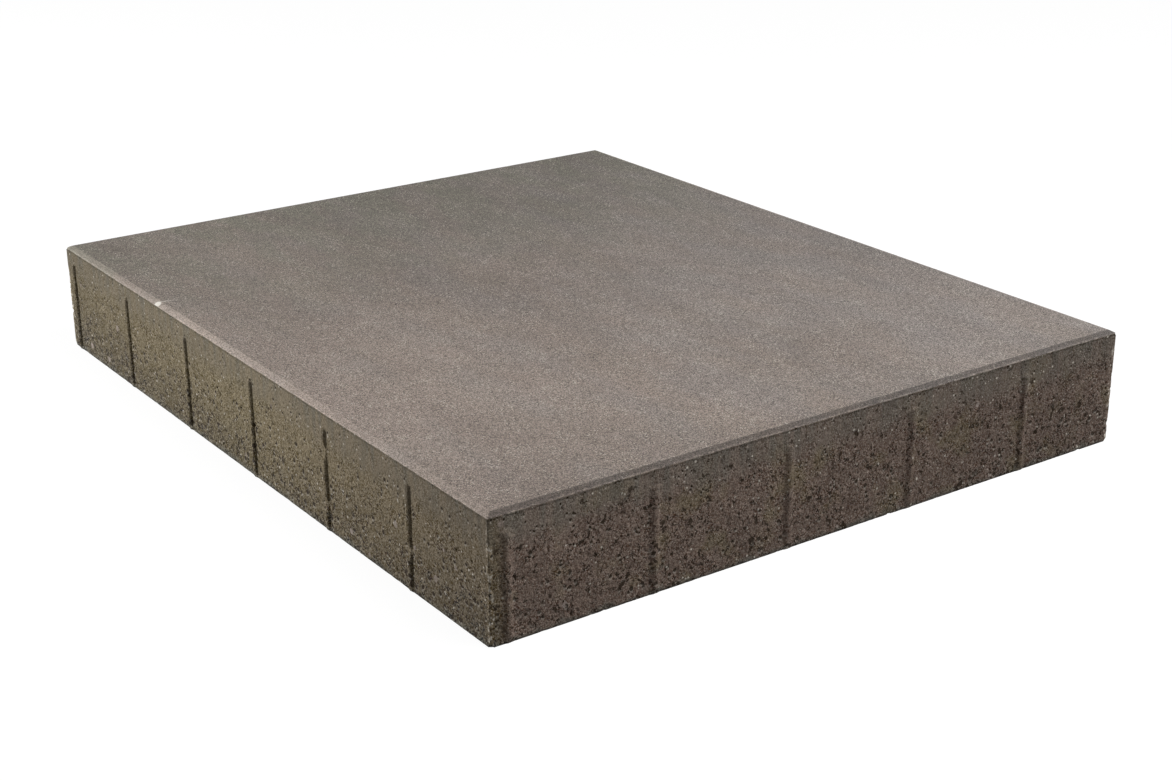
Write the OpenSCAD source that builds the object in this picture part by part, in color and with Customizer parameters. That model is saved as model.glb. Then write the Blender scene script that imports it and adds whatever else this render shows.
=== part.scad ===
// Pressed concrete road slab with a chamfered wearing face and low, rounded
// spacer ribs on its four sides. The origin is at the middle of the bed face,
// +Z points up to the wearing face, and the long sides run along X.

/* [Slab] */
// Length of the concrete body along X, without the ribs
body_length = 597; // [397:100:1197]
// Width of the concrete body along Y, without the ribs
body_width = 497; // [297:100:997]
// Thickness from the bed face to the wearing face
thickness = 80; // [60:10:160]

/* [Chamfer] */
// How far the chamfer reaches in over the wearing face
chamfer_in = 3.5; // [1:0.5:10]
// How far the chamfer drops below the wearing face
chamfer_drop = 2; // [1:0.5:10]

/* [Spacer ribs] */
// Centre distance of the ribs along a side
rib_pitch = 100; // [50:10:200]
// Distance from the left end of a side, seen from outside, to its first rib
rib_start = 12; // [8:1:40]
// Radius of a rib's rounded front
rib_radius = 4; // [3:0.5:6]
// How far a rib stands out of its side
rib_out = 1.5; // [1:0.5:2.5]
// Distance from the wearing face down to the ribs' top ends
rib_gap = 10; // [10:1:30]
// Height of the tapered part at a rib's top end
rib_taper = 3; // [1:1:10]

/* [Hidden] */

// Sides of a full circle in the ribs' round surfaces
$fn = 48;
// Height of a rib from the bed face up to its top end
rib_height = thickness - rib_gap;
// Distance from a side face in to the axis of its ribs
rib_inset = rib_radius - rib_out;
// The radius at the tip of a rib's taper, which ends inside the side face
rib_tip = rib_inset / 2;
concrete_colour = [0.50, 0.47, 0.44];

// Section of the slab across a side of the given width
module chamfered_section(width) {
    half = width / 2;
    polygon([
        [-half, 0],
        [half, 0],
        [half, thickness - chamfer_drop],
        [half - chamfer_in, thickness],
        [-half + chamfer_in, thickness],
        [-half, thickness - chamfer_drop],
    ]);
}

// The section stood upright and drawn out along Y
module chamfered_bar(width, length) {
    rotate([90, 0, 0])
        linear_extrude(height = length, center = true)
            chamfered_section(width);
}

// The block with its four top edges chamfered and mitred at the corners
module chamfered_block() {
    intersection() {
        chamfered_bar(body_length, body_width);
        rotate([0, 0, 90])
            chamfered_bar(body_width, body_length);
    }
}

// One rounded rib, from the bed face up to its tapered top end
module spacer_rib() {
    straight = rib_height - rib_taper;
    cylinder(h = straight, r = rib_radius);
    translate([0, 0, straight])
        cylinder(h = rib_taper, r1 = rib_radius, r2 = rib_tip);
}

// The ribs of one side, which is length long and lies offset out along -Y
module rib_row(length, offset) {
    last = floor((length - 2 * rib_start) / rib_pitch);
    for (i = [0 : last])
        translate([rib_start + i * rib_pitch - length / 2, rib_inset - offset, 0])
            spacer_rib();
}

// The whole slab: the block with a row of ribs on each side
module slab() {
    color(concrete_colour)
        union() {
            chamfered_block();
            for (turn = [0, 180])
                rotate([0, 0, turn])
                    rib_row(body_length, body_width / 2);
            for (turn = [90, 270])
                rotate([0, 0, turn])
                    rib_row(body_width, body_length / 2);
        }
}

slab();
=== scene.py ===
"""Concrete road slab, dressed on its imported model: run once, top to bottom."""
import math
import random

import bpy
from mathutils import Euler, Matrix, Vector


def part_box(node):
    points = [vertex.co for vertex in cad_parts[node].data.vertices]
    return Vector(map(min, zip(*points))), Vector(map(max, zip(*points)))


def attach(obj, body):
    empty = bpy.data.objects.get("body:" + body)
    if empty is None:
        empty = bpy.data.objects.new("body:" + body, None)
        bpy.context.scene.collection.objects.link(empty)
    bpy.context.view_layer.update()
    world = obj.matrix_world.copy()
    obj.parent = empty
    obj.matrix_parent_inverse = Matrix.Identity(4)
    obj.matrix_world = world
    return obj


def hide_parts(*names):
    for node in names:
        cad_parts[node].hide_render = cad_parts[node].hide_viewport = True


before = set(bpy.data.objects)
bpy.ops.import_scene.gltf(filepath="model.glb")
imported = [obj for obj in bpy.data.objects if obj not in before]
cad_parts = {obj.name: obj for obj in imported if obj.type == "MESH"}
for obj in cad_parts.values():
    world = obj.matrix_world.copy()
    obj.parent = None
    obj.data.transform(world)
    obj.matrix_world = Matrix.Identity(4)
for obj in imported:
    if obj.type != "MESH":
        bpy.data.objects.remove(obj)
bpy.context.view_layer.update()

bl_info = {
    "name": "Concrete Road Slab",
    "version": (1, 0, 0),
    "blender": (4, 5, 0),
    "location": "View3D > Sidebar > Slab",
    "description": "Builds a pressed concrete slab with spacer ribs, and a plain studio",
    "category": "Object",
}

NODE = "slab"
MM = 0.001

# the grid of the even mesh that the relief is carved in: how often it is halved, and the
# share of it that the slab's length takes up
GRID_HALVINGS = 9
GRID_SHARE = 0.99

# where ribs have broken away: the rib's number round the slab, and the height in metres
BROKEN_RIBS = ((4, 0.055), (4, 0.020), (5, 0.028))

# chips in the bottom arrises and in each upright one, and the share that lie on the long sides
BOTTOM_CHIPS = 16
UPRIGHT_CHIPS = 3
LONG_SIDE_SHARE = 0.55

# least and greatest radius in millimetres of the pebbles that knock the chips out
PEBBLES = {"bottom": (0.4, 0.9), "foot": (1.2, 2.0), "top": (1.0, 1.6), "upright": (0.6, 1.3)}

# a small chip in the long chamfer, how far a pale scratch runs on from it over the face, and
# how strongly the scratch bends, as metres aside for each square metre of its run
CHIP = Vector((-0.131, -0.2468, 0.0788))
SCRATCH = 0.014
SCRATCH_BEND = 22.0

# how the broad patches of the wearing face are drawn out along the slab
PATCH_STRETCH = (0.45, 1.0, 1.0)

# the point that all lamps face, and each lamp's name, place, size in metres and power in watts
LAMP_AIM = (0, 0, 0.04)
LAMPS = (
    ("lamp_left", (-1.5, -1.3, 0.38), 0.5, 34),
    ("lamp_top", (0.9, 0.3, 1.6), 1.0, 17),
    ("lamp_back", (0.95, 1.6, 0.8), 0.6, 13),
)


# ---------------------------------------------------------------- settings


def length(name, default, description, low=0.0, high=10.0):
    """A length in metres, with what it is."""
    return bpy.props.FloatProperty(
        name=name, default=default, description=description,
        min=low, max=high, precision=4, unit="LENGTH", subtype="DISTANCE",
    )


def colour(name, default, description):
    """A linear colour, with what it is."""
    return bpy.props.FloatVectorProperty(
        name=name, default=default, description=description,
        size=3, min=0.0, max=1.0, subtype="COLOR",
    )


def factor(name, default, description, high=1.0):
    """A plain share or strength, with what it is."""
    return bpy.props.FloatProperty(
        name=name, default=default, description=description,
        min=0.0, max=high, subtype="FACTOR",
    )


class SlabShape(bpy.types.PropertyGroup):
    """Sizes of the slab's mouldings and of its wear."""

    chamfer_in: length("Chamfer In", 3.5 * MM, "How far the chamfer reaches over the wearing face")
    chamfer_drop: length("Chamfer Drop", 2 * MM, "How far the chamfer drops down the sides")
    rib_pitch: length("Rib Pitch", 0.1, "Centre distance of the spacer ribs")
    rib_start: length("Rib Start", 12 * MM, "From a side's left end to its first rib")
    rib_radius: length("Rib Radius", 4 * MM, "Radius of the ribs' rounded fronts")
    rib_out: length("Rib Out", 1.5 * MM, "How far a rib stands out of its side")
    rib_gap: length("Rib Gap", 10 * MM, "From the wearing face down to a rib's top end")
    rib_taper: length("Rib Taper", 3 * MM, "Height of the taper at a rib's top end")
    skin: length("Smooth Skin", 19 * MM, "Depth of the tight, smooth band under the wearing face")
    lip: length("Lip", 0.35 * MM, "How far the burr under the chamfer stands out")
    pit: length("Pit Depth", 1.3 * MM, "Depth of the larger pits in the sides")
    pore: length("Pore Depth", 2.2 * MM, "Depth of the few widest pores")
    wear: length("Edge Wear", 0.35 * MM, "How deep the sharp edges have crumbled")
    triangles: bpy.props.IntProperty(
        name="Triangles", default=190000, min=1000, max=199000,
        description="How many triangles the finished slab keeps",
    )


class SlabFinish(bpy.types.PropertyGroup):
    """Colours and sand grains of the concrete."""

    face: colour("Face", (0.232, 0.190, 0.165), "Fine cement and sand of the wearing face")
    face_far: colour("Face Far", (0.214, 0.189, 0.176), "Greyer far side of the wearing face")
    face_dull: colour("Face Dull", (0.206, 0.193, 0.155), "Greener end of the wearing face")
    core_olive: colour("Olive Core", (0.222, 0.180, 0.108), "Yellowish cement of the sides")
    core_umber: colour("Umber Core", (0.222, 0.163, 0.131), "Brownish cement of the sides")
    skin: colour("Skin", (0.224, 0.190, 0.156), "Tight cement just under the wearing face")
    streak: colour("Streak", (0.130, 0.128, 0.108), "Greyish green streaks and damp")
    # painted shade: the pore colour darkens pits, pinholes and recesses as shade, and is also the
    # own dark of the open joints
    pore: colour("Pore", (0.022, 0.012, 0.004), "Depth of the open pores")
    stone: colour("Stone", (0.42, 0.35, 0.31), "Pale stones that show in the sides")
    # painted glints: this pale colour is painted on single sand grains as glints and on the lips
    # of pinholes as highlights; the crumbs of the upright arrises take it too
    glint: colour("Glint", (0.78, 0.72, 0.63), "Single bright grains of sand")
    grit: colour("Grit", (0.125, 0.118, 0.108), "How far grey grains differ from the cement")
    chip: colour("Chip", (0.95, 0.90, 0.82), "Fresh, pale concrete of the chip and its scratch")
    face_sand: length("Face Sand", 0.5 * MM, "Size of the wearing face's fine sand")
    face_grains: length("Face Grains", 1 * MM, "Size of the wearing face's few larger grains")
    core_sand: length("Core Sand", 0.8 * MM, "Size of the sides' fine sand")
    core_grains: length("Core Grains", 2 * MM, "Size of the sides' larger grains")


class StudioSettings(bpy.types.PropertyGroup):
    """The camera, the lamps and the floor."""

    lens: bpy.props.FloatProperty(
        name="Lens", default=59.9, min=10.0, max=300.0, unit="CAMERA",
        description="Focal length in millimetres",
    )
    camera_place: bpy.props.FloatVectorProperty(
        name="Camera Place", default=(1.095, -0.745, 0.520), subtype="XYZ", unit="LENGTH",
        description="Where the camera stands",
    )
    camera_aim: bpy.props.FloatVectorProperty(
        name="Camera Aim", default=(0.098, -0.043, 0.040), subtype="XYZ", unit="LENGTH",
        description="The point in the middle of the camera's view",
    )
    camera_roll: bpy.props.FloatProperty(
        name="Camera Roll", default=math.radians(-0.27), subtype="ANGLE", unit="ROTATION",
        description="How far the camera leans over",
    )
    sky: factor("Sky", 0.16, "Strength of the even light from all round", 4.0)
    floor_size: length("Floor Size", 12.0, "Side of the square floor", 1.0, 100.0)
    floor_tone: factor("Floor Tone", 0.12, "How much light the floor gives back")
    floor_white: factor("Floor White", 0.94, "What is added to the floor to show it white")


# ---------------------------------------------------------------- selection and mesh tools


def add_mesh(operator, name, **settings):
    """Adds a primitive with nothing else selected, and applies its place."""
    bpy.ops.object.select_all(action="DESELECT")
    operator(**settings)
    piece = bpy.context.object
    piece.name = name
    piece.data.name = name
    bpy.ops.object.transform_apply(location=True, rotation=True, scale=True)
    return piece


def pick_faces(piece, test):
    """Selects the faces that pass the test, and opens edit mode on them."""
    bpy.ops.object.mode_set(mode="EDIT")
    bpy.ops.mesh.select_mode(type="FACE")
    bpy.ops.mesh.select_all(action="DESELECT")
    bpy.ops.object.mode_set(mode="OBJECT")
    for face in piece.data.polygons:
        face.select = test(face)
    bpy.ops.object.mode_set(mode="EDIT")


def apply_modifier(piece, kind, **settings):
    """Adds one modifier with its settings, and applies it."""
    bpy.ops.object.select_all(action="DESELECT")
    piece.select_set(True)
    bpy.context.view_layer.objects.active = piece
    bpy.ops.object.modifier_add(type=kind)
    modifier = piece.modifiers[-1]
    for name, value in settings.items():
        setattr(modifier, name, value)
    bpy.ops.object.modifier_apply(modifier=modifier.name)


def join(pieces, name):
    """Joins pieces into the first of them."""
    bpy.ops.object.select_all(action="DESELECT")
    for piece in pieces:
        piece.select_set(True)
    bpy.context.view_layer.objects.active = pieces[0]
    bpy.ops.object.join()
    pieces[0].name = name
    return pieces[0]


def copy_mesh(piece, name, place):
    """Copies a piece with its own mesh, placed by a matrix."""
    mesh = piece.data.copy()
    mesh.name = name
    mesh.transform(place)
    twin = bpy.data.objects.new(name, mesh)
    bpy.context.collection.objects.link(twin)
    return twin


# ---------------------------------------------------------------- the slab's shape


def block_corners(shape):
    """The block's lowest and highest corners, inside its ribs."""
    low, high = (Vector(corner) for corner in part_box(NODE))
    out = Vector((shape.rib_out, shape.rib_out, 0))
    return low + out, high - out


def make_block(shape):
    """The plain block with its chamfered top edges."""
    low, high = block_corners(shape)
    size = high - low
    block = add_mesh(
        bpy.ops.mesh.primitive_cube_add, "slab_surface",
        size=1, location=(low + high) / 2, scale=size,
    )
    bpy.ops.object.mode_set(mode="EDIT")
    bpy.ops.mesh.select_all(action="SELECT")
    bpy.ops.mesh.bisect(plane_co=(0, 0, high.z - shape.chamfer_drop), plane_no=(0, 0, 1))
    pick_faces(block, lambda face: face.normal.z > 0.5)
    shrink = [1 - 2 * shape.chamfer_in / side for side in size.xy] + [1]
    bpy.ops.transform.resize(value=shrink, center_override=(0, 0, high.z))
    bpy.ops.object.mode_set(mode="OBJECT")
    return block


def make_rib(shape, top):
    """One upright rib at the origin, tapered at its top end."""
    straight = top - shape.rib_gap - shape.rib_taper
    rib = add_mesh(
        bpy.ops.mesh.primitive_cylinder_add, "rib",
        vertices=32, radius=shape.rib_radius, depth=straight, location=(0, 0, straight / 2),
    )
    pick_faces(rib, lambda face: face.normal.z > 0.5)
    bpy.ops.mesh.extrude_region_move(TRANSFORM_OT_translate={"value": (0, 0, shape.rib_taper)})
    tip = (shape.rib_radius - shape.rib_out) / 2 / shape.rib_radius
    bpy.ops.transform.resize(value=(tip, tip, 1), center_override=(0, 0, straight))
    bpy.ops.object.mode_set(mode="OBJECT")
    return rib


def rib_places(shape):
    """Where each rib stands, as matrices that turn it onto its side."""
    high = block_corners(shape)[1]
    inset = shape.rib_radius - shape.rib_out
    places = []
    for turn in range(4):
        half_long, half_deep = (high.x, high.y) if turn % 2 == 0 else (high.y, high.x)
        count = int((2 * half_long - 2 * shape.rib_start) / shape.rib_pitch) + 1
        turned = Matrix.Rotation(math.radians(90 * turn), 4, "Z")
        for index in range(count):
            along = shape.rib_start + index * shape.rib_pitch - half_long
            places.append(turned @ Matrix.Translation((along, inset - half_deep, 0)))
    return places


def add_ribs(block, shape):
    """Joins a row of ribs to each side of the block."""
    pattern = make_rib(shape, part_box(NODE)[1][2])
    ribs = [copy_mesh(pattern, f"rib_{n}", place) for n, place in enumerate(rib_places(shape))]
    bpy.data.objects.remove(pattern)
    row = join(ribs, "ribs")
    apply_modifier(block, "BOOLEAN", operation="UNION", object=row, solver="EXACT")
    bpy.data.objects.remove(row)


def edge_chips(rng, low, high):
    """Places and sizes of small chips along the arrises, and of the worn corners."""
    chips = []
    for _ in range(BOTTOM_CHIPS):
        x, y = rng.choice((low.x, high.x)), rng.choice((low.y, high.y))
        if rng.random() < LONG_SIDE_SHARE:
            spot = Vector((rng.uniform(low.x, high.x), y, low.z))
        else:
            spot = Vector((x, rng.uniform(low.y, high.y), low.z))
        chips.append((spot, rng.uniform(*PEBBLES["bottom"]) * MM))
    for x in (low.x, high.x):
        for y in (low.y, high.y):
            chips.append((Vector((x, y, low.z)), rng.uniform(*PEBBLES["foot"]) * MM))
            near_top = Vector((x, y, high.z - 1.5 * MM))
            chips.append((near_top, rng.uniform(*PEBBLES["top"]) * MM))
            for _ in range(UPRIGHT_CHIPS):
                spot = Vector((x, y, rng.uniform(0.1, 0.8) * high.z))
                chips.append((spot, rng.uniform(*PEBBLES["upright"]) * MM))
    return chips


def add_chips(block, shape):
    """Knocks chips out of the arrises with rough pebbles."""
    low, high = block_corners(shape)
    pebble = add_mesh(bpy.ops.mesh.primitive_ico_sphere_add, "pebble", subdivisions=2, radius=1)
    bpy.ops.object.mode_set(mode="EDIT")
    bpy.ops.mesh.select_all(action="SELECT")
    bpy.ops.transform.vertex_random(offset=0.15, normal=1.0, seed=4)
    bpy.ops.object.mode_set(mode="OBJECT")
    rng = random.Random(7)
    pebbles = []
    for number, (spot, size) in enumerate(edge_chips(rng, low, high)):
        turn = Euler([rng.uniform(0, math.tau) for _ in range(3)]).to_matrix().to_4x4()
        stretch = Matrix.Diagonal([size * rng.uniform(0.8, 1.6) for _ in range(3)] + [1])
        place = Matrix.Translation(spot) @ turn @ stretch
        pebbles.append(copy_mesh(pebble, f"pebble_{number}", place))
    bpy.data.objects.remove(pebble)
    heap = join(pebbles, "pebbles")
    apply_modifier(
        block, "BOOLEAN", operation="DIFFERENCE", object=heap, solver="EXACT", use_self=True
    )
    bpy.data.objects.remove(heap)


# ---------------------------------------------------------------- node tools


class Graph:
    """Adds nodes to a tree and joins them, in one line each."""

    def __init__(self, tree):
        self.tree = tree
        self.column = 0

    def add(self, kind, inputs=None, **settings):
        """Adds a node, sets it up, and links or fills its inputs by name or number."""
        node = self.tree.nodes.new(kind)
        self.column += 1
        node.location = (self.column % 12 * 200, -(self.column // 12) * 300)
        for name, value in settings.items():
            setattr(node, name, value)
        for name, value in (inputs or {}).items():
            self.feed(node.inputs[name], value)
        return node

    def feed(self, socket, value):
        """Links a socket to a socket, or gives it a plain value."""
        if isinstance(value, bpy.types.NodeSocket):
            self.tree.links.new(value, socket)
        else:
            socket.default_value = value

    def math(self, operation, *values, clamp=False):
        """One math node; its result."""
        node = self.add("ShaderNodeMath", dict(enumerate(values)), operation=operation)
        node.use_clamp = clamp
        return node.outputs[0]

    def vector(self, operation, *values):
        """One vector math node; its result."""
        node = self.add("ShaderNodeVectorMath", dict(enumerate(values)), operation=operation)
        return node.outputs[0]

    def chain(self, operation, values):
        """One math operation run through any number of values."""
        result = values[0]
        for value in values[1:]:
            result = self.math(operation, result, value)
        return result

    def times(self, *values):
        """The product of any number of values."""
        return self.chain("MULTIPLY", values)

    def sum(self, *values):
        """The sum of any number of values."""
        return self.chain("ADD", values)

    def most(self, *values):
        """The greatest of any number of values."""
        return self.chain("MAXIMUM", values)

    def least(self, *values):
        """The smallest of any number of values."""
        return self.chain("MINIMUM", values)

    def minus(self, first, second):
        """The first value less the second."""
        return self.math("SUBTRACT", first, second)

    def apart(self, first, second):
        """How far apart two values are."""
        return self.math("ABSOLUTE", self.minus(first, second))

    def scaled(self, vector, amount):
        """A vector or colour times a number."""
        node = self.add("ShaderNodeVectorMath", {0: vector, "Scale": amount}, operation="SCALE")
        return node.outputs[0]

    def distance(self, first, second):
        """How far apart two points are."""
        node = self.add("ShaderNodeVectorMath", {0: first, 1: second}, operation="DISTANCE")
        return node.outputs["Value"]

    def split(self, vector):
        """The three parts of a vector or colour."""
        return self.add("ShaderNodeSeparateXYZ", {0: vector}).outputs

    def ramp(self, value, low, high, to_low=0.0, to_high=1.0):
        """Value taken from one range to another and held inside it."""
        inputs = dict(enumerate((value, low, high, to_low, to_high)))
        return self.add("ShaderNodeMapRange", inputs).outputs[0]

    def between(self, share, first, second):
        """A number that goes from the first to the second as a share goes from 0 to 1."""
        return self.ramp(share, 0.0, 1.0, first, second)

    def over(self, limit, value, steep):
        """How far a limit passes a value, made steep and held from 0 to 1."""
        return self.math("MULTIPLY", self.minus(limit, value), steep, clamp=True)

    def noise(self, vector, size, detail=2.0, rough=0.5, stretch=None, shift=0.0):
        """Cloudy noise on cells of a size, about 0.5 on the whole."""
        if stretch or shift:
            offset = (shift, shift, shift)
            vector = self.vector("MULTIPLY_ADD", vector, stretch or (1, 1, 1), offset)
        inputs = {"Vector": vector, "Scale": 1 / size, "Detail": detail, "Roughness": rough}
        return self.add("ShaderNodeTexNoise", inputs).outputs[0]

    def ragged(self, vector, size, reach):
        """Points pushed about by noise on cells of a size, for ragged outlines."""
        push = self.add("ShaderNodeTexNoise", {"Vector": vector, "Scale": 1 / size})
        return self.vector("ADD", vector, self.scaled(push.outputs["Color"], reach))

    def cells(self, vector, size, **settings):
        """Cells of a size round scattered points; the outputs of their texture."""
        inputs = {"Vector": vector, "Scale": 1 / size}
        return self.add("ShaderNodeTexVoronoi", inputs, **settings).outputs

    def mix(self, share, first, second):
        """Two colours mixed by a share."""
        node = self.add("ShaderNodeMix", data_type="RGBA")
        self.feed(node.inputs["Factor"], share)
        for name, value in (("A", first), ("B", second)):
            socket = next(s for s in node.inputs if s.name == name and s.type == "RGBA")
            self.feed(socket, value)
        return next(s for s in node.outputs if s.type == "RGBA")


def rgba(colour_value):
    """A colour property as a socket value."""
    return (*colour_value, 1.0)


def behind_sides(graph, place, shape):
    """How far a point lies behind the flats of the ends and of the long sides, in metres."""
    high = block_corners(shape)[1]
    apart = graph.vector("ABSOLUTE", place)
    behind = graph.split(graph.vector("SUBTRACT", tuple(high), apart))
    return behind[0], behind[1]


def side_depth(graph, place, shape):
    """How far a point lies behind the flat of its side, in metres."""
    return graph.least(*behind_sides(graph, place, shape))


def openness(graph, place, shape):
    """How open the concrete is: tight under the wearing face and loose below it."""
    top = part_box(NODE)[1][2]
    drift = graph.noise(place, 14 * MM, 2.0, stretch=(1, 1, 0.5))
    height = graph.math("MULTIPLY_ADD", drift, 26 * MM, graph.split(place)[2])
    level = top - shape.skin + 13 * MM
    return graph.ramp(height, level + 4 * MM, level - 6 * MM)


def pits(graph, place, size, least, most, patch, steep=16.0):
    """Depth, 0 to 1, of uneven pits that gather in patches of a size."""
    gathered = graph.ramp(graph.noise(place, patch, 2.0, shift=1.0), 0.42, 0.62)
    limit = graph.between(gathered, least, most)
    return graph.over(limit, graph.noise(place, size, 2.0, 0.6), steep)


def crevices(graph, place, size, patch):
    """Ragged dark joints, 0 to 1, between grains of a size, that gather in patches."""
    bent = graph.ragged(place, size, 0.8 * size)
    edge = graph.cells(bent, size, feature="DISTANCE_TO_EDGE")["Distance"]
    width = graph.ramp(graph.noise(place, patch, 3.0, 0.6, shift=2.0), 0.52, 0.62, 0.0, 0.16)
    return graph.over(width, edge, 14.0)


# ---------------------------------------------------------------- relief in the mesh


def carved_depth(graph, place, shape):
    """How far the sides are carved in by their open texture, in metres."""
    open_part = openness(graph, place, shape)
    grain = graph.ramp(graph.noise(place, 3.0 * MM, 3.0, 0.6), 0.48, 0.66, 0.0, 0.18 * MM)
    grit = graph.ramp(graph.noise(place, 1.5 * MM, 1.0), 0.3, 0.7, 0.0, 0.10 * MM)
    texture = graph.times(graph.sum(grain, grit), graph.between(open_part, 0.15, 1.0))
    small = graph.times(pits(graph, place, 2.4 * MM, 0.30, 0.375, 18 * MM), shape.pit)
    wide = graph.times(pits(graph, place, 5.0 * MM, 0.24, 0.30, 40 * MM), shape.pore)
    holes = graph.times(graph.most(small, wide), graph.between(open_part, 0.1, 1.0))
    waves = graph.times(graph.noise(place, 45 * MM, 1.0), 0.25 * MM)
    behind = behind_sides(graph, place, shape)
    inland = graph.times(
        graph.ramp(graph.least(*behind), -0.4 * MM, 0.0, 0.25, 1.0),
        graph.ramp(graph.most(*behind), 1 * MM, 4 * MM, 0.3, 1.0),
        graph.ramp(graph.split(place)[2], 1 * MM, 5 * MM, 0.3, 1.0),
    )
    return graph.sum(graph.times(graph.sum(texture, holes), inland), waves)


def bed_depth(graph, place, shape):
    """How far the bed is carved in by its waves and widest pores, in metres."""
    waves = graph.times(graph.noise(place, 40 * MM, 1.0), 0.5 * MM)
    pores = graph.times(pits(graph, place, 7 * MM, 0.24, 0.32, 50 * MM), shape.pit)
    return graph.sum(waves, pores)


def edge_crumble(graph, place, shape):
    """How far the upright and the bottom arrises have crumbled, in metres."""
    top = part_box(NODE)[1][2]
    behind = behind_sides(graph, place, shape)
    height = graph.split(place)[2]
    off_upright = graph.most(*behind)
    off_bottom = graph.most(graph.least(*behind), height)
    near = graph.ramp(graph.least(off_upright, off_bottom), 1.8 * MM, 0.0)
    rough = graph.ramp(graph.noise(place, 7 * MM, 3.0), 0.54, 0.66)
    below_rim = graph.ramp(height, top - 4 * MM, top - 10 * MM)
    sound = graph.ramp(height, 2 * MM, 5 * MM, 0.4, 1.0)
    return graph.times(near, rough, below_rim, sound, shape.wear)


def rib_loss(graph, place, shape):
    """How far each rib is set back where it has broken away and at its worn foot, in metres."""
    places = rib_places(shape)
    ragged = graph.ragged(place, 3 * MM, 4 * MM)
    spots = [places[rib] @ Vector((0, 0, height)) for rib, height in BROKEN_RIBS]
    gaps = [graph.ramp(graph.distance(ragged, spot), 6 * MM, 3.5 * MM) for spot in spots]
    foot = graph.ramp(graph.split(place)[2], 4 * MM, 1 * MM)
    proud = graph.ramp(side_depth(graph, place, shape), 0.0, -shape.rib_out, 0.0, shape.rib_out)
    return graph.times(proud, graph.most(*gaps, foot))


def burr(graph, place, shape):
    """How far the thin burr under the chamfer stands out, in metres."""
    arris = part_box(NODE)[1][2] - shape.chamfer_drop
    line = graph.ramp(graph.apart(graph.split(place)[2], arris), 1.1 * MM, 0.3 * MM)
    broken = graph.ramp(graph.noise(place, 9 * MM, 3.0), 0.40, 0.56, 0.3, 1.0)
    return graph.times(line, broken, shape.lip)


def relief_tree(shape):
    """Geometry nodes that carve the open texture, crumble the arrises and raise the burr."""
    tree = bpy.data.node_groups.new("Concrete Relief", "GeometryNodeTree")
    tree.interface.new_socket("Mesh", in_out="INPUT", socket_type="NodeSocketGeometry")
    tree.interface.new_socket("Mesh", in_out="OUTPUT", socket_type="NodeSocketGeometry")
    graph = Graph(tree)
    source = graph.add("NodeGroupInput").outputs[0]
    place = graph.add("GeometryNodeInputPosition").outputs[0]
    normal = graph.add("GeometryNodeInputNormal").outputs[0]
    up = graph.split(normal)[2]
    upright = graph.ramp(graph.math("ABSOLUTE", up), 0.9, 0.6)
    outward = graph.vector("NORMALIZE", graph.vector("MULTIPLY", normal, (1, 1, 0)))
    carved = graph.sum(carved_depth(graph, place, shape), rib_loss(graph, place, shape))
    sideways = graph.times(graph.minus(burr(graph, place, shape), carved), upright)
    worn = edge_crumble(graph, place, shape)
    dips = graph.times(graph.noise(place, 30 * MM, 2.0), graph.ramp(up, 0.5, 0.9), 0.12 * MM)
    inland = graph.ramp(side_depth(graph, place, shape), 2 * MM, 8 * MM)
    bed = graph.times(bed_depth(graph, place, shape), inland, graph.ramp(up, -0.5, -0.9))
    inward = graph.scaled(normal, graph.sum(worn, dips, bed))
    offset = graph.vector("SUBTRACT", graph.scaled(outward, sideways), inward)
    carved_mesh = graph.add("GeometryNodeSetPosition", {"Geometry": source, "Offset": offset})
    box_low, box_high = (tuple(corner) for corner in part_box(NODE))
    moved = graph.add("GeometryNodeInputPosition").outputs[0]
    held = graph.vector("MINIMUM", graph.vector("MAXIMUM", moved, box_low), box_high)
    held_mesh = graph.add(
        "GeometryNodeSetPosition", {"Geometry": carved_mesh.outputs[0], "Position": held}
    )
    graph.add("NodeGroupOutput", {0: held_mesh.outputs[0]})
    return tree


def triangle_count(piece):
    """How many triangles a mesh comes to."""
    return sum(len(face.vertices) - 2 for face in piece.data.polygons)


def mark_ribs(block, shape):
    """Marks the ribs and the flats between them, which the thinning leaves alone."""
    high = block_corners(shape)[1]
    ribs = block.vertex_groups.new(name="ribs")
    marked = []
    for vertex in block.data.vertices:
        x, y, z = vertex.co
        near_side = max(abs(x) - high.x, abs(y) - high.y) > -0.1 * MM
        if near_side and z < high.z - shape.rib_gap:
            marked.append(vertex.index)
    ribs.add(marked, 1.0, "REPLACE")


def roughen(block, shape):
    """Gives the block an even mesh, carves its relief, and thins it where it is flat."""
    apply_modifier(block, "REMESH", mode="SHARP", octree_depth=GRID_HALVINGS, scale=GRID_SHARE)
    apply_modifier(block, "NODES", node_group=relief_tree(shape))
    share = shape.triangles / triangle_count(block)
    mark_ribs(block, shape)
    apply_modifier(
        block, "DECIMATE", ratio=share, use_collapse_triangulate=True, vertex_group="ribs",
        invert_vertex_group=True,
    )
    bpy.ops.object.shade_smooth()
    apply_modifier(block, "WEIGHTED_NORMAL", weight=50, keep_sharp=False)


# ---------------------------------------------------------------- finishes


FLOAT, VECTOR = "NodeSocketFloat", "NodeSocketVector"


def new_material(name):
    """An empty material with its output and a Principled shader."""
    material = bpy.data.materials.new(name)
    material.use_nodes = True
    material.node_tree.nodes.clear()
    graph = Graph(material.node_tree)
    shader = graph.add("ShaderNodeBsdfPrincipled")
    graph.add("ShaderNodeOutputMaterial", {"Surface": shader.outputs[0]})
    place = graph.add("ShaderNodeTexCoord").outputs["Object"]
    return material, graph, shader, place


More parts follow.
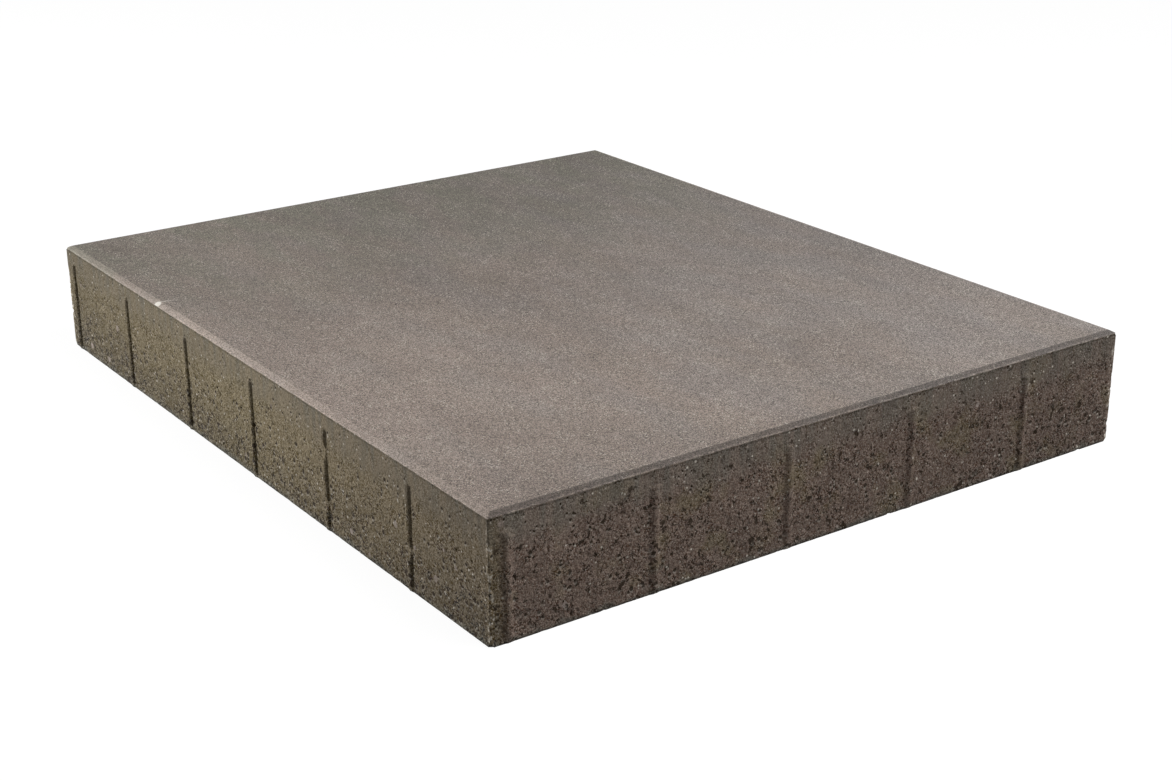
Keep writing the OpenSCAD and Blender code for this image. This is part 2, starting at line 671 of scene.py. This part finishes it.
def new_group(name, inputs, outputs):
    """An empty shader group with its sockets, given by name, kind and default."""
    tree = bpy.data.node_groups.new(name, "ShaderNodeTree")
    for socket_name, kind, default in inputs:
        socket = tree.interface.new_socket(socket_name, in_out="INPUT", socket_type=kind)
        if default is not None:
            socket.default_value = default
    for socket_name in outputs:
        tree.interface.new_socket(socket_name, in_out="OUTPUT", socket_type=FLOAT)
    graph = Graph(tree)
    return tree, graph, graph.add("NodeGroupInput").outputs


def sand_group():
    """Single grains of sand: their relief, their tone, and which of them get a painted glint."""
    tree, graph, given = new_group(
        "Sand Grain",
        [("Vector", VECTOR, None), ("Grain", FLOAT, MM), ("Bright", FLOAT, 0.01)],
        ["Height", "Tone", "Glint"],
    )
    scale = graph.math("DIVIDE", 1.0, given["Grain"])
    inputs = {"Vector": given["Vector"], "Scale": scale}
    cells = graph.add("ShaderNodeTexVoronoi", inputs).outputs
    chance = graph.split(cells["Color"])
    height = graph.minus(1.0, cells["Distance"])
    picked = graph.math("LESS_THAN", chance[1], given["Bright"])
    core = graph.ramp(cells["Distance"], 0.45, 0.25)
    graph.add("NodeGroupOutput", {0: height, 1: chance[0], 2: graph.times(picked, core)})
    return tree


def mottle_group():
    """Broad clouds, middling patches and small blotches of uneven cement."""
    tree, graph, given = new_group(
        "Cement Mottle", [("Vector", VECTOR, None)], ["Clouds", "Patches", "Blotches"]
    )
    sizes = ((0.12, 0.40, 0.60), (0.022, 0.38, 0.62), (0.005, 0.36, 0.64))
    fields = [
        graph.ramp(graph.noise(given["Vector"], size, 3.0, 0.55), low, high)
        for size, low, high in sizes
    ]
    graph.add("NodeGroupOutput", dict(enumerate(fields)))
    return tree


def place_group(graph, tree, inputs):
    """Puts a shader group in a graph."""
    node = graph.add("ShaderNodeGroup", node_tree=tree)
    for name, value in inputs.items():
        graph.feed(node.inputs[name], value)
    return node.outputs


def place_sand(graph, sand, place, grain, bright):
    """Puts sand of one grain in a graph, with the share of its grains that get a painted glint."""
    return place_group(graph, sand, {"Vector": place, "Grain": grain, "Bright": bright})


def bump(graph, shader, height, distance):
    """Feeds a height into the shader's normal."""
    node = graph.add("ShaderNodeBump", {"Height": height, "Distance": distance, "Strength": 1.0})
    graph.feed(shader.inputs["Normal"], node.outputs[0])


def chip(graph, place):
    """A pale chip in the chamfer and the curved scratch that runs on from it, as a mask."""
    from_chip = graph.vector("SUBTRACT", place, CHIP)
    across, inward = graph.split(from_chip)[:2]
    reach = graph.distance(graph.vector("MULTIPLY", from_chip, (0.7, 1, 1)), (0, 0, 0))
    bend = graph.math("MULTIPLY_ADD", graph.math("POWER", inward, 2.0), -SCRATCH_BEND, 0.3 * MM)
    off_line = graph.math("ABSOLUTE", graph.sum(across, bend))
    run = graph.times(
        graph.ramp(inward, 0.0, 1 * MM), graph.ramp(inward, SCRATCH, 0.3 * SCRATCH, 0.0, 0.9)
    )
    scratch = graph.times(graph.ramp(off_line, 0.5 * MM, 0.2 * MM), run)
    return graph.most(graph.ramp(reach, 2.6 * MM, 2.0 * MM), scratch)


def face_colour(graph, place, shape, finish):
    """The wearing face's own colour: greyer on the far side and greener towards one end."""
    low, high = block_corners(shape)
    along, across = graph.split(place)[:2]
    drawn_out = graph.vector("MULTIPLY", place, PATCH_STRETCH)
    drift = graph.ramp(graph.noise(drawn_out, 40 * MM, 2.0, shift=4.0), 0.36, 0.64, -0.3, 0.3)
    far = graph.sum(graph.ramp(across, low.y + 0.05, high.y, 0.0, 0.85), drift)
    base = graph.mix(graph.most(far, 0.0), rgba(finish.face), rgba(finish.face_far))
    greenish = graph.times(
        graph.ramp(along, 0.0, low.x, 0.1, 0.9),
        graph.ramp(graph.noise(drawn_out, 26 * MM, 2.0, shift=5.0), 0.42, 0.58, 0.35, 1.0),
    )
    return graph.mix(greenish, base, rgba(finish.face_dull))


def face_tone(graph, place, shape, grains, mottle):
    """How light or dark the wearing face is, from grain to grain, with painted light that grows
    from end to end.
    """
    low, high = block_corners(shape)
    along, across = graph.split(place)[:2]
    drawn_out = graph.vector("MULTIPLY", place, PATCH_STRETCH)
    clouds = place_group(graph, mottle, {"Vector": drawn_out})
    near_corner = graph.times(
        graph.ramp(along, 0.17, high.x - 20 * MM), graph.ramp(across, 0.02, low.y + 0.08)
    )
    near_front = graph.times(
        graph.ramp(across, low.y + 0.16, low.y), graph.ramp(graph.apart(along, -0.04), 0.22, 0.1)
    )
    return graph.times(
        graph.between(grains, 0.25, 1.75),
        graph.between(clouds["Clouds"], 0.97, 1.14),
        graph.between(clouds["Patches"], 0.96, 1.04),
        # painted light: the face is made lighter towards the high-x end, as the light falls on it
        graph.ramp(along, low.x, high.x, 0.78, 1.16),
        graph.ramp(across, low.y, high.y, 1.12, 0.97),
        graph.between(near_corner, 1.0, 0.78),
        graph.between(near_front, 1.0, 1.12),
    )


def chamfer_share(graph, place, shape):
    """1 on the chamfer and its worn inner edge, and 0 on the flat of the wearing face."""
    end, side = behind_sides(graph, place, shape)
    inner = shape.chamfer_in + 0.9 * MM
    behind_rim = graph.least(end, graph.minus(side, 0.5 * MM))
    return graph.ramp(behind_rim, inner, inner - 0.4 * MM)


def chamfer_tone(graph, place, shape):
    """How light the chamfer is: painted light along the long sides, dark at the ends, crumbs at
    its foot.
    """
    low, high = block_corners(shape)
    along, _, height = graph.split(place)
    end, side = behind_sides(graph, place, shape)
    at_end = graph.ramp(graph.minus(side, end), -0.5 * MM, 0.5 * MM)
    # painted light: the long chamfers are lightened as if they face the light, most towards the
    # low-x end
    lit_long_chamfer = graph.times(
        graph.ramp(along, low.x, -0.1, 1.4, 1.7), graph.ramp(along, -0.05, 0.16, 1.0, 0.78)
    )
    foot = high.z - shape.chamfer_drop
    crumbs = graph.times(
        graph.ramp(height, foot + 0.7 * MM, foot),
        graph.ramp(graph.noise(place, 3 * MM, 3.0, 0.7), 0.42, 0.56),
        0.75,
    )
    return graph.sum(graph.between(at_end, lit_long_chamfer, 0.55), crumbs)


def face_material(finish, shape, sand, mottle):
    """The fine, sandy concrete of the wearing face and its chamfer."""
    material, graph, shader, place = new_material("face_concrete")
    gathered = graph.noise(place, 16 * MM, 3.0, 0.6, shift=7.0)
    # painted glints on the face's sand, gathered in patches and fewer on the chamfer
    sparkle = graph.ramp(gathered, 0.44, 0.62, 0.03, 0.28)
    fine = place_sand(graph, sand, place, finish.face_sand, 0.01)
    coarse = place_sand(graph, sand, place, finish.face_grains, sparkle)
    tone = face_tone(graph, place, shape, fine["Tone"], mottle)
    rim = chamfer_share(graph, place, shape)
    smooth = graph.math("MULTIPLY_ADD", graph.minus(tone, 1.0), 0.7, 1.0)
    tone = graph.between(rim, tone, graph.times(smooth, chamfer_tone(graph, place, shape)))
    glint = graph.times(graph.most(fine["Glint"], coarse["Glint"]), graph.between(rim, 0.9, 0.3))
    toned = graph.scaled(face_colour(graph, place, shape, finish), tone)
    toned = graph.mix(glint, toned, rgba(finish.glint))
    toned = graph.mix(chip(graph, place), toned, rgba(finish.chip))
    graph.feed(shader.inputs["Base Color"], toned)
    shader.inputs["Roughness"].default_value = 0.8
    shader.inputs["Specular IOR Level"].default_value = 0.3
    bump(graph, shader, fine["Height"], 0.25 * MM)
    return material


def painted_side_light(graph, place, shape, front):
    """Painted light and shade over the sides: lighter near their middles, darker towards their
    ends, the back and their feet.
    """
    low, high = block_corners(shape)
    along, across, height = graph.split(place)
    # painted shade: the front is darker towards its ends
    front_ends = graph.ramp(graph.math("ABSOLUTE", along), 0.2, 0.29, 0.85, 0.78)
    return graph.times(
        graph.ramp(graph.apart(along, 0.05), 0.0, 0.35, 1.2, 0.79),
        graph.ramp(across, low.y, high.y, 1.15, 0.83),
        graph.between(front, 1.0, front_ends),
        graph.ramp(height, 0.0, 45 * MM, graph.between(front, 0.9, 0.68), 1.0),
    )


def core_colour(graph, place, shape, finish):
    """The cement's colour over the sides: olive or umber, with a skin and streaks, and painted
    light and shade over it.
    """
    low, high = block_corners(shape)
    along, across, height = graph.split(place)
    front = graph.ramp(across, low.y + 13 * MM, low.y + 5 * MM)
    patchy = graph.ramp(graph.noise(place, 30 * MM, 3.0), 0.52, 0.64, 0.0, 0.6)
    olive = graph.most(graph.times(front, graph.ramp(along, 0.0, high.x, 1.0, 0.72)), patchy)
    base = graph.mix(olive, rgba(finish.core_umber), rgba(finish.core_olive))
    tight = graph.minus(1.0, openness(graph, place, shape))
    tight = graph.times(tight, graph.between(front, 0.55, 0.25))
    base = graph.mix(tight, base, rgba(finish.skin))
    runs = graph.ramp(graph.noise(place, 8 * MM, 2.0, stretch=(1, 1, 0.12)), 0.46, 0.60)
    fade = graph.ramp(height, high.z - 28 * MM, high.z - 6 * MM)
    base = graph.mix(graph.times(runs, fade, 0.45), base, rgba(finish.streak))
    # painted light and shade laid over the sides' colour
    base = graph.scaled(base, painted_side_light(graph, place, shape, front))
    # painted shadow: a dark line just under the burr
    from_burr_shadow = graph.apart(height, high.z - shape.chamfer_drop - 1.1 * MM)
    base = graph.scaled(base, graph.ramp(from_burr_shadow, 0.3 * MM, 1.0 * MM, 0.7, 1.0))
    level = graph.math("MULTIPLY_ADD", graph.noise(place, 12 * MM, 2.0), -10 * MM, height)
    soaked = graph.times(
        graph.ramp(level, -1 * MM, -5 * MM),
        graph.ramp(side_depth(graph, place, shape), 4 * MM, 16 * MM, 0.75, 0.3),
    )
    return graph.mix(soaked, base, rgba(finish.streak))


def stones(graph, place):
    """Single pale stones that show in the sides, as a mask."""
    cells = graph.cells(place, 11 * MM)
    reach = graph.ramp(graph.split(cells["Color"])[0], 0.72, 1.0, 0.0, 0.24)
    return graph.over(reach, cells["Distance"], 30.0)


def pinholes(graph, place):
    """Single small holes with ragged rims, wider low down, as a mask."""
    cells = graph.cells(graph.ragged(place, 1.4 * MM, 1.6 * MM), 4 * MM)
    reach = graph.times(
        graph.ramp(graph.split(cells["Color"])[0], 0.3, 1.0, 0.06, 0.39),
        graph.ramp(graph.split(place)[2], 70 * MM, 10 * MM, 0.65, 1.15),
    )
    return graph.over(reach, cells["Distance"], 32.0)


def grain_strength(graph, place, shape, front):
    """How strongly the grain shows: less in the skin, in calm patches and high on the front."""
    high_up = graph.ramp(graph.split(place)[2], 10 * MM, 60 * MM, 1.0, 0.7)
    return graph.times(
        graph.between(openness(graph, place, shape), 0.6, 1.0),
        graph.ramp(graph.noise(place, 11 * MM, 2.0, shift=3.0), 0.40, 0.60, 0.65, 1.15),
        graph.between(front, 1.0, high_up),
    )


def core_tone(graph, place, front, swing, coarse, mottle):
    """How light or dark the sides are, from grain to grain and from patch to patch."""
    clouds = place_group(graph, mottle, {"Vector": place})
    grit = graph.minus(graph.noise(place, 1.8 * MM, 3.0, 0.7), 0.5)
    even = graph.between(front, 1.0, 0.5)
    return graph.times(
        graph.math("MULTIPLY_ADD", swing, 0.38, 1.02),
        graph.between(coarse["Tone"], 0.93, 1.08),
        graph.ramp(graph.times(grit, graph.between(front, 1.0, 0.6)), -0.16, 0.16, 0.86, 1.2),
        graph.between(clouds["Patches"], 0.92, 1.08),
        graph.between(graph.times(clouds["Blotches"], even), 0.94, 1.08),
    )


def worn_arris(graph, place, shape):
    """Where the upright arrises are rubbed pale, as a mask."""
    return graph.times(
        graph.ramp(graph.most(*behind_sides(graph, place, shape)), 3.5 * MM, 1.8 * MM),
        graph.ramp(graph.split(place)[2], 72 * MM, 62 * MM),
        graph.ramp(graph.noise(place, 5 * MM, 3.0, shift=6.0), 0.42, 0.58),
    )


def core_holes(graph, place, front, rough, stone):
    """Small pits, open joints and wider pores, as a mask."""
    small = graph.times(
        graph.most(
            pits(graph, place, 1.5 * MM, 0.31, 0.42, 9 * MM),
            crevices(graph, place, 1.7 * MM, 2.6 * MM),
        ),
        graph.math("POWER", rough, 2.0),
        graph.minus(1.0, stone),
        graph.between(front, 0.65, 0.35),
    )
    high_up = graph.between(front, 1.0, 0.5)
    wide = graph.times(
        pits(graph, place, 4.5 * MM, 0.335, 0.395, 20 * MM, 45.0),
        graph.ramp(graph.split(place)[2], 40 * MM, 10 * MM, high_up, 1.0),
        rough,
    )
    return graph.most(small, wide)


def core_pinholes(graph, place, shape, front):
    """Pinholes that gather in loose patches, and the painted highlights on the lips below them, as
    two masks.
    """
    low = block_corners(shape)[0]
    loose = graph.ramp(graph.noise(place, 14 * MM, 2.0, shift=8.0), 0.48, 0.60, 0.0, 0.9)
    on_front = graph.ramp(graph.split(place)[0], low.x, 0.1, 0.6, 1.0)
    share = graph.between(front, loose, on_front)
    holes = graph.times(pinholes(graph, place), share)
    # painted highlight on the lip just below each pinhole
    above = graph.vector("ADD", place, (0.0, 0.0, 1.3 * MM))
    return holes, graph.times(pinholes(graph, above), share, graph.minus(1.0, holes))


def core_material(finish, shape, sand, mottle):
    """The open, pitted concrete of the sides and the bed."""
    material, graph, shader, place = new_material("core_concrete")
    low = block_corners(shape)[0]
    height = graph.split(place)[2]
    front = graph.ramp(graph.split(place)[1], low.y + 4 * MM, low.y + 2 * MM)
    # share of the sand grains that get a painted glint
    bright = graph.between(front, 0.022, 0.014)
    fine = place_sand(graph, sand, place, finish.core_sand, bright)
    coarse = place_sand(graph, sand, place, finish.core_grains, bright)
    rough = grain_strength(graph, place, shape, front)
    swing = graph.times(graph.between(fine["Tone"], -1.0, 1.0), graph.between(front, 0.72, 1.0))
    tone = graph.minus(core_tone(graph, place, front, swing, coarse, mottle), 1.0)
    arris = worn_arris(graph, place, shape)
    tone = graph.sum(1.0, graph.times(rough, tone), graph.times(arris, 0.7))
    toned = graph.scaled(core_colour(graph, place, shape, finish), tone)
    grit = graph.scaled(tuple(finish.grit), graph.times(swing, rough))
    toned = graph.vector("MAXIMUM", graph.vector("ADD", toned, grit), (0.0, 0.0, 0.0))
    stone = graph.times(stones(graph, place), rough)
    toned = graph.mix(graph.times(stone, 0.8), toned, rgba(finish.stone))
    specks, lip_highlights = core_pinholes(graph, place, shape, front)
    holes = graph.most(core_holes(graph, place, front, rough, stone), specks)
    painted_recess_shade = graph.times(
        graph.ramp(side_depth(graph, place, shape), 0.5 * MM, 1.3 * MM),
        graph.ramp(height, 1.8 * MM, 3 * MM),
    )
    # painted shade in pits, pinholes and points set back behind the side's flat; the open joints
    # are also dark in themselves
    dark = graph.most(graph.ramp(holes, 0.1, 0.75, 0.0, 0.97), graph.times(painted_recess_shade, 0.8))
    toned = graph.mix(dark, toned, rgba(finish.pore))
    crumbs = graph.times(arris, graph.ramp(graph.noise(place, 3.0 * MM, 2.0), 0.53, 0.58))
    glint = graph.most(fine["Glint"], coarse["Glint"], crumbs, graph.times(lip_highlights, 0.36))
    # mixes the painted glints, the painted lip highlights and the pale arris crumbs towards the
    # glint colour
    toned = graph.mix(graph.times(glint, 0.85), toned, rgba(finish.glint))
    graph.feed(shader.inputs["Base Color"], toned)
    shader.inputs["Roughness"].default_value = 0.9
    shader.inputs["Specular IOR Level"].default_value = 0.25
    grains = graph.sum(graph.times(fine["Height"], 0.5), graph.times(coarse["Height"], 0.5))
    open_grain = graph.times(
        graph.noise(place, 1.8 * MM, 4.0, 0.7), rough, graph.between(front, 2.2, 0.7)
    )
    bump(graph, shader, graph.sum(grains, open_grain, graph.times(holes, -2.5)), 0.5 * MM)
    return material


def paint(block, shape, finish):
    """Puts the fine concrete on the wearing face and the open concrete on the rest."""
    sand, mottle = sand_group(), mottle_group()
    block.data.materials.clear()
    block.data.materials.append(core_material(finish, shape, sand, mottle))
    block.data.materials.append(face_material(finish, shape, sand, mottle))
    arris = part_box(NODE)[1][2] - shape.chamfer_drop
    for face in block.data.polygons:
        on_top = face.center.z > arris and face.normal.z > 0.3
        face.material_index = 1 if on_top else 0


def floor_material(studio):
    """A pale floor that shows white and keeps a soft shadow."""
    material, graph, shader, _ = new_material("studio_floor")
    tone = studio.floor_tone
    shader.inputs["Base Color"].default_value = (tone, tone, tone, 1)
    shader.inputs["Roughness"].default_value = 1.0
    shader.inputs["Specular IOR Level"].default_value = 0.0
    shader.inputs["Emission Color"].default_value = (1, 1, 1, 1)
    graph.feed(shader.inputs["Emission Strength"], graph.times(seen(graph), studio.floor_white))
    return material


def seen(graph):
    """1 where the camera, or a reflection, sees the surface itself."""
    rays = graph.add("ShaderNodeLightPath").outputs
    return graph.most(rays["Is Camera Ray"], rays["Is Glossy Ray"], rays["Is Transmission Ray"])


# ---------------------------------------------------------------- operators


class SLAB_OT_make_slab(bpy.types.Operator):
    """Builds the dressed slab over its plain solid"""

    bl_idname = "slab.make_slab"
    bl_label = "Make Slab"

    def execute(self, context):
        shape = context.scene.slab_shape
        block = make_block(shape)
        add_ribs(block, shape)
        add_chips(block, shape)
        roughen(block, shape)
        paint(block, shape, context.scene.slab_finish)
        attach(block, "root")
        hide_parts(NODE)
        return {"FINISHED"}


def add_lamp(name, place, aim, size, power):
    """A soft square lamp that faces a point."""
    bpy.ops.object.select_all(action="DESELECT")
    bpy.ops.object.light_add(type="AREA", location=place)
    lamp = bpy.context.object
    lamp.name = name
    lamp.rotation_euler = (Vector(aim) - Vector(place)).to_track_quat("-Z", "Y").to_euler()
    lamp.data.shape = "SQUARE"
    lamp.data.size = size
    lamp.data.energy = power


def make_sky(scene, strength):
    """An even sky that shows plain white."""
    world = bpy.data.worlds.new("studio_sky")
    scene.world = world
    world.use_nodes = True
    world.node_tree.nodes.clear()
    graph = Graph(world.node_tree)
    shown = graph.between(seen(graph), strength, 1.0)
    sky = graph.add("ShaderNodeBackground", {"Color": (1, 1, 1, 1), "Strength": shown})
    graph.add("ShaderNodeOutputWorld", {"Surface": sky.outputs[0]})


def make_camera(scene, studio):
    """The camera at its place, turned to what it looks at."""
    bpy.ops.object.camera_add(location=studio.camera_place)
    camera = bpy.context.object
    camera.name = "studio_camera"
    camera.data.lens = studio.lens
    camera.data.sensor_width = 36
    sight = Vector(studio.camera_aim) - Vector(studio.camera_place)
    level = sight.to_track_quat("-Z", "Y").to_matrix().to_4x4()
    camera.rotation_euler = (level @ Matrix.Rotation(studio.camera_roll, 4, "Z")).to_euler()
    camera.data.clip_start = 0.01
    camera.data.clip_end = 100
    scene.camera = camera


class SLAB_OT_make_studio(bpy.types.Operator):
    """Sets up the floor, the sky, the lamps and the camera"""

    bl_idname = "slab.make_studio"
    bl_label = "Make Studio"

    def execute(self, context):
        scene = context.scene
        studio = scene.slab_studio
        floor = add_mesh(
            bpy.ops.mesh.primitive_plane_add, "studio_floor", size=studio.floor_size
        )
        floor.data.materials.append(floor_material(studio))
        for name, place, size, power in LAMPS:
            add_lamp(name, place, LAMP_AIM, size, power)
        make_sky(scene, studio.sky)
        make_camera(scene, studio)
        scene.view_settings.view_transform = "Standard"
        return {"FINISHED"}


class SLAB_PT_panel(bpy.types.Panel):
    """Lists the slab's steps and settings"""

    bl_idname = "SLAB_PT_panel"
    bl_label = "Concrete Slab"
    bl_space_type = "VIEW_3D"
    bl_region_type = "UI"
    bl_category = "Slab"

    def draw(self, context):
        column = self.layout.column()
        for step in OPERATORS:
            column.operator(step.bl_idname)
        for setting in SETTINGS:
            group = getattr(context.scene, setting)
            for name in group.__annotations__:
                column.prop(group, name)


SETTINGS = {"slab_shape": SlabShape, "slab_finish": SlabFinish, "slab_studio": StudioSettings}
OPERATORS = (SLAB_OT_make_studio, SLAB_OT_make_slab)
CLASSES = (*SETTINGS.values(), *OPERATORS, SLAB_PT_panel)


def register():
    """Registers every class and hangs the settings on the scene."""
    for part in CLASSES:
        bpy.utils.register_class(part)
    for name, group in SETTINGS.items():
        setattr(bpy.types.Scene, name, bpy.props.PointerProperty(type=group))


def unregister():
    """Takes the settings and classes away again."""
    for name in SETTINGS:
        delattr(bpy.types.Scene, name)
    for part in reversed(CLASSES):
        bpy.utils.unregister_class(part)


def main():
    """Registers the classes and runs each step in order."""
    register()
    bpy.ops.slab.make_studio()
    bpy.ops.slab.make_slab()


if __name__ == "__main__":
    main()
